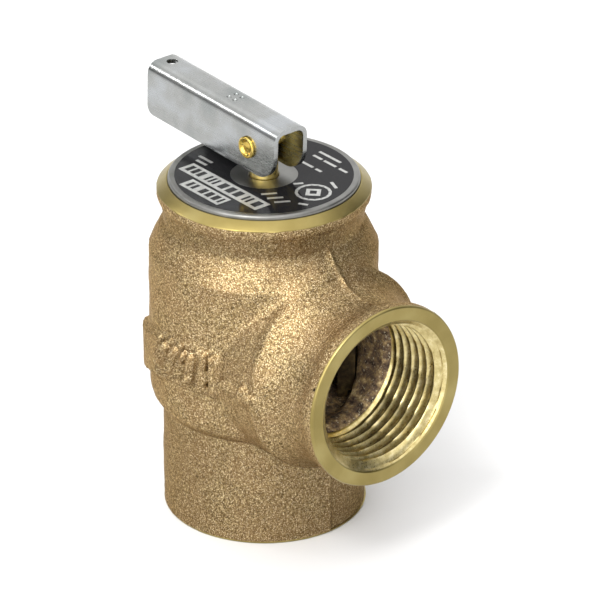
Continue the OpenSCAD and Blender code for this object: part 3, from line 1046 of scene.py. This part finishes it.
def make_spring():
    """Round wire with ground ends."""
    low, high = corner("spring", 0, 2), corner("spring", 1, 2)
    coil_r = corner("spring", 1, 0) - WIRE_R
    sides, steps = WIRE_SIDES, int(COIL_TURNS * STEPS_PER_TURN)
    points, faces = [], []
    for i in range(steps + 1):
        turn = i / STEPS_PER_TURN
        centre = coil_height(turn, low + WIRE_R, high - WIRE_R)
        c, s = math.cos(2 * math.pi * turn), math.sin(2 * math.pi * turn)
        for k in range(sides):
            a = 2 * math.pi * k / sides
            r = coil_r + WIRE_R * math.cos(a)
            points.append((r * c, r * s, centre + WIRE_R * math.sin(a)))
    for i in range(steps):
        for k in range(sides):
            a, b = i * sides + k, i * sides + (k + 1) % sides
            faces.append((a, b, b + sides, a + sides))
    faces.append(list(range(sides)))
    faces.append([steps * sides + k for k in reversed(range(sides))])
    spring = mesh_object("coil_spring", points, faces)
    smooth(spring)
    spring.data.materials.append(spring_wire())
    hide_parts("spring")
    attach(spring, "valve_body")
    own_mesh(spring)


# ---------------------------------------------------------------- nameplate

PRINT_IN, PRINT_OUT = 5.5, 14.5
PLATE_HOLE_R = 2.4
PRINT_THICK = 0.02
LONG_ROW_Y, SHORT_ROW_Y = -7.9, -11.55
EMBLEM_X, EMBLEM_Y, EMBLEM_R = 10.3, 1.8, 2.7
EMBLEM_DASHES = 16

# Blocks as (x, width), and marks as (x, y, width, turn in degrees).
LONG_BLOCKS = [(-9.1, 0.9), (-7.7, 0.9), (-6.3, 0.9), (-4.4, 0.5), (-3.4, 0.5), (-2.4, 0.5), (-0.6, 1.3),
               (1.3, 1.3), (3.2, 1.3), (5.1, 0.5), (6.1, 0.5), (7.9, 1.3)]
SHORT_BLOCKS = [(-4.5, 0.7), (-3.3, 0.7), (-1.2, 1.1), (0.4, 1.1), (2.0, 1.1), (3.3, 0.5)]
SMALL_MARKS = [(6.2, -4.0, 2.6, 60), (8.0, -4.2, 2.6, 60), (9.8, -4.2, 2.6, 60), (-10.2, -3.9, 3.4, 0),
               (-9.7, -5.2, 2.6, 0), (1.6, 7.6, 3.2, 0), (4.6, 7.6, 1.4, 0), (0.8, 10.6, 2.2, 0),
               (3.9, 10.6, 3.0, 0), (7.2, 10.6, 2.0, 0), (2.0, 12.2, 5.4, 0), (12.6, -2.2, 1.6, 30),
               (6.3, 2.0, 1.6, 60), (10.4, 6.0, 2.4, -20)]


def make_plate():
    hole = PLATE_HOLE_R
    profile = ([(hole, PLATE_LOW), (PLATE_R, PLATE_LOW)]
               + ellipse(PLATE_R - 0.4, PLATE_TOP - 0.4, 0.4, 0.4, 0, 90, 6)
               + [(PLATE_R - 0.8, PLATE_TOP - PRINT_THICK), (hole + 0.15, PLATE_TOP - PRINT_THICK),
                  (hole, PLATE_TOP - 0.15)])
    plate = lathe("name_plate", profile, about_z, 160)
    smooth(plate)
    plate.data.materials.append(bare_aluminium())
    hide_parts("nameplate")
    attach(plate, "valve_body")


def flat_print(name, outlines, low, material):
    """Thin printed shapes: convex outlines of (x, y) points, each given a little thickness."""
    points, faces = [], []
    for outline in outlines:
        n, start = len(outline), len(points)
        points += [(x, y, z) for z in (low, low + PRINT_THICK) for x, y in outline]
        faces.append([start + n + k for k in range(n)])
        faces.append([start + k for k in reversed(range(n))])
        faces += [(start + k, start + (k + 1) % n, start + n + (k + 1) % n, start + n + k)
                  for k in range(n)]
    piece = mesh_object(name, points, faces)
    piece.data.materials.append(material)
    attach(piece, "valve_body")


def rectangle(cx, cy, w, h, turn=0.0):
    """Corners of a rectangle on the plate, turned by some degrees."""
    c, s = math.cos(math.radians(turn)), math.sin(math.radians(turn))
    corners = [(-w / 2, -h / 2), (w / 2, -h / 2), (w / 2, h / 2), (-w / 2, h / 2)]
    return [(cx + x * c - y * s, cy + x * s + y * c) for x, y in corners]


def make_print():
    """The black band, the silver boxes, marks and emblem on it, and the dark blocks in those."""
    under = PLATE_TOP - PRINT_THICK
    ink = lathe("black_band", [(PRINT_IN, under), (PRINT_OUT, under), (PRINT_OUT, PLATE_TOP),
                               (PRINT_IN, PLATE_TOP)], about_z, 160)
    smooth(ink)
    ink.data.materials.append(black_print())
    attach(ink, "valve_body")
    silver = [rectangle(-0.45, LONG_ROW_Y, 19.7, 3.2), rectangle(-0.8, SHORT_ROW_Y, 9.8, 2.9)]
    silver += [rectangle(x, y, w, 0.55, turn) for x, y, w, turn in SMALL_MARKS]
    for k in range(EMBLEM_DASHES):
        a = 2 * math.pi * k / EMBLEM_DASHES
        x, y = EMBLEM_X + EMBLEM_R * math.cos(a), EMBLEM_Y + EMBLEM_R * math.sin(a)
        silver.append(rectangle(x, y, 1.15, 0.5, math.degrees(a) + 90))
    silver.append(rectangle(EMBLEM_X, EMBLEM_Y, 2.4, 2.4, 45))
    flat_print("silver_boxes", silver, PLATE_TOP, silver_print())
    dark = [rectangle(x, LONG_ROW_Y, w, 1.9) for x, w in LONG_BLOCKS]
    dark += [rectangle(x, SHORT_ROW_Y, w, 1.7) for x, w in SHORT_BLOCKS]
    dark.append(rectangle(EMBLEM_X, EMBLEM_Y, 1.1, 1.1, 45))
    flat_print("dark_blocks", dark, PLATE_TOP + PRINT_THICK, black_print())


# ---------------------------------------------------------------- the pieces that stay as CAD solids

# Pieces deep inside the valve, whose dark brass is painted shade.
SHADED_INSIDE = ("disc_guide", "disc_holder", "disc_screw")


def finish_cad_nodes():
    """Materials for the nodes that no piece replaces."""
    # The dark brass for the inner pieces is painted shade.
    inner = inner_shade_brass()
    looks = {"machined_brass": turned_brass(), "seal_rubber": seal_rubber(), "plain_steel": plain_steel(),
             "gasket_fibre": gasket_fibre()}
    slots = {s["node"]: s["material_slot"] for s in frame["record"]["subparts"]}
    for name, node in frame["nodes"].items():
        if slots[name] in looks and not node.hide_render:
            node.data.materials.clear()
            node.data.materials.append(inner if name in SHADED_INSIDE else looks[slots[name]])


# ---------------------------------------------------------------- light and floor

SKY_LOW, SKY_HIGH = 0.05, 1.9
SKY_SIDE = (0.28, -0.40, 0.873)
BACK_GLOW, BACK_SIDE = 1.2, (-0.69, 0.56, 0.46)
FRONT_GLOW, FRONT_SIDE = 2.8, (0.46, -0.82, 0.34)
HORIZON_GLOW = 0.85
KEY_PLACE, KEY_SIZE, KEY_POWER = (0.25, -0.50, 0.80), 0.25, 3
EDGE_PLACE, EDGE_SIZE, EDGE_POWER = (-0.60, -0.40, 0.48), 0.10, 0.7
LIGHT_TARGET = (0, 0, 0.03)
FLOOR_HALF = 6


def area_light(name, place, size, power):
    data = bpy.data.lights.new(name, "AREA")
    data.shape = "DISK"
    data.size = size
    data.energy = power
    lamp = bpy.data.objects.new(name, data)
    lamp.location = place
    lamp.rotation_mode = "QUATERNION"
    lamp.rotation_quaternion = (Vector(LIGHT_TARGET) - lamp.location).to_track_quat("-Z", "Y")
    bpy.context.scene.collection.objects.link(lamp)


def lobe(tree, side, start, end, low, high):
    """World brightness that rises smoothly towards one direction."""
    facing = tree.nodes.new("ShaderNodeVectorMath")
    facing.operation = "DOT_PRODUCT"
    tree.links.new(tree.nodes.new("ShaderNodeTexCoord").outputs["Generated"], facing.inputs[0])
    facing.inputs[1].default_value = side
    glow = tree.nodes.new("ShaderNodeMapRange")
    glow.interpolation_type = "SMOOTHSTEP"
    set_range(glow, start, end, low, high)
    tree.links.new(facing.outputs["Value"], glow.inputs["Value"])
    return glow.outputs["Result"]


def make_world():
    """A pale sky made of four smooth lobes."""
    world = bpy.data.worlds.new("studio")
    world.use_nodes = True
    tree = world.node_tree
    total = lobe(tree, SKY_SIDE, 0.12, 0.90, SKY_LOW, SKY_HIGH)
    extra = [lobe(tree, BACK_SIDE, 0.6, 0.97, 0.0, BACK_GLOW),
             lobe(tree, FRONT_SIDE, 0.74, 0.98, 0.0, FRONT_GLOW),
             lobe(tree, (0, 0, 1), 0.06, 0.12, HORIZON_GLOW, 0.0)]
    for glow in extra:
        both = tree.nodes.new("ShaderNodeMath")
        both.operation = "ADD"
        tree.links.new(total, both.inputs[0])
        tree.links.new(glow, both.inputs[1])
        total = both.outputs["Value"]
    tree.links.new(total, tree.nodes["Background"].inputs["Strength"])
    tree.nodes["Background"].inputs["Color"].default_value = (1, 1, 1, 1)
    bpy.context.scene.world = world


def make_studio():
    make_world()
    area_light("key", KEY_PLACE, KEY_SIZE, KEY_POWER)
    area_light("edge", EDGE_PLACE, EDGE_SIZE, EDGE_POWER)
    half = FLOOR_HALF
    floor = mesh_object("floor", [(-half, -half, 0), (half, -half, 0), (half, half, 0), (-half, half, 0)],
                        [(0, 1, 2, 3)], 1)
    g = Graph("floor")
    tone = g.ramp(g.noise(60, 2, 0.5), [(0.3, (0.66, 0.66, 0.66)), (0.7, (0.69, 0.69, 0.69))])
    floor.data.materials.append(g.finish(colour=tone, rough=0.8))
    bpy.context.scene.view_settings.view_transform = "Standard"


make_camera()
make_casting()
make_lever()
make_rivet()
make_stem()
make_spring()
make_plate()
make_print()
finish_cad_nodes()
make_studio()
